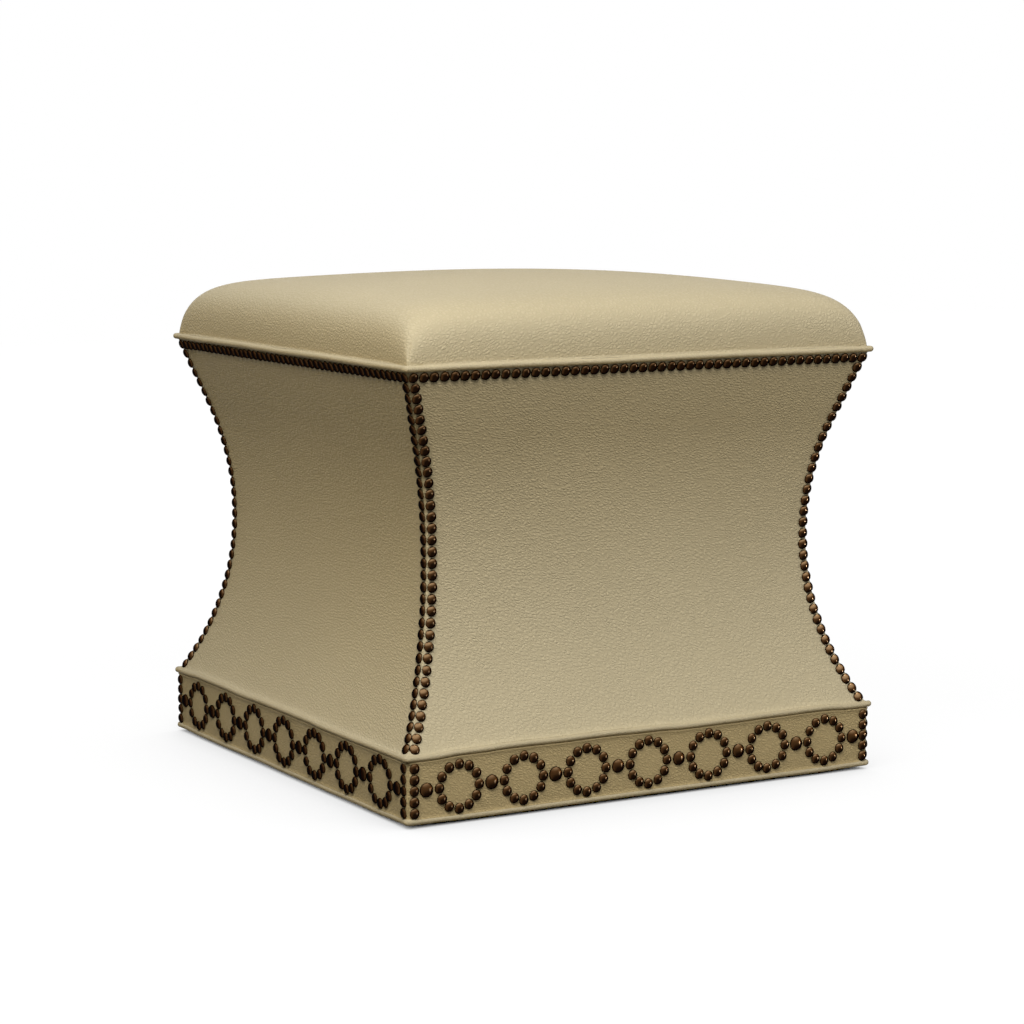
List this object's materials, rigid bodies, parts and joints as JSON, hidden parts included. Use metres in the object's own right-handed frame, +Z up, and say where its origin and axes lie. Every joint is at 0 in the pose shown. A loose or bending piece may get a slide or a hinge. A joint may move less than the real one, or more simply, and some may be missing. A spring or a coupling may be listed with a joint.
{
  "type": "upholstered footstool",
  "caption": "Square leather footstool with hollow-curved sides on a low plinth, a crowned fixed cushion, welts, and rows, columns and rings of domed nails.",
  "frame": {"origin": "on the floor, under the middle of the square plan", "axes": "+Z up; the front looks along -Y, +X to its right; the stool looks the same after each quarter turn about Z"},
  "size_m": [0.5426, 0.5426, 0.5084],
  "materials": {
    "leather": "pale khaki pebble-grained leather, satin",
    "nail_bronze": "dark oxidised bronze, polished domes",
    "hardwood": "sawn and planed, unfinished",
    "plywood": "sanded, unfinished",
    "felt": "matte needled felt",
    "fibre": "soft bonded fibre",
    "foam": "open-cell foam",
    "dust_cloth": "thin black spunbonded cloth",
    "screw_steel": "plated",
    "glide_nylon": "moulded nylon"
  },
  "bodies": {
    "root": {"side_cover_front": "leather", "side_padding_front": "felt", "side_panel_front": "plywood", "side_rib_front": "hardwood", "top_rail_front": "hardwood", "base_rail_front": "hardwood", "plinth_cover_front": "leather", "plinth_board_front": "hardwood", "body_nails_front": "nail_bronze", "plinth_nails_front": "nail_bronze", "side_cover_right": "leather", "side_padding_right": "felt", "side_panel_right": "plywood", "side_rib_right": "hardwood", "top_rail_right": "hardwood", "base_rail_right": "hardwood", "plinth_cover_right": "leather", "plinth_board_right": "hardwood", "body_nails_right": "nail_bronze", "plinth_nails_right": "nail_bronze", "side_cover_back": "leather", "side_padding_back": "felt", "side_panel_back": "plywood", "side_rib_back": "hardwood", "top_rail_back": "hardwood", "base_rail_back": "hardwood", "plinth_cover_back": "leather", "plinth_board_back": "hardwood", "body_nails_back": "nail_bronze", "plinth_nails_back": "nail_bronze", "side_cover_left": "leather", "side_padding_left": "felt", "side_panel_left": "plywood", "side_rib_left": "hardwood", "top_rail_left": "hardwood", "base_rail_left": "hardwood", "plinth_cover_left": "leather", "plinth_board_left": "hardwood", "body_nails_left": "nail_bronze", "plinth_nails_left": "nail_bronze", "corner_post_front_right": "hardwood", "deck_screw_front_right": "screw_steel", "glide_front_right": "glide_nylon", "corner_post_back_right": "hardwood", "deck_screw_back_right": "screw_steel", "glide_back_right": "glide_nylon", "corner_post_back_left": "hardwood", "deck_screw_back_left": "screw_steel", "glide_back_left": "glide_nylon", "corner_post_front_left": "hardwood", "deck_screw_front_left": "screw_steel", "glide_front_left": "glide_nylon", "top_cover": "leather", "fibre_wrap": "fibre", "seat_foam": "foam", "seat_deck": "plywood", "top_welt": "leather", "step_welt": "leather", "low_welt": "leather", "dust_cover": "dust_cloth"}
  },
  "joints": []
}
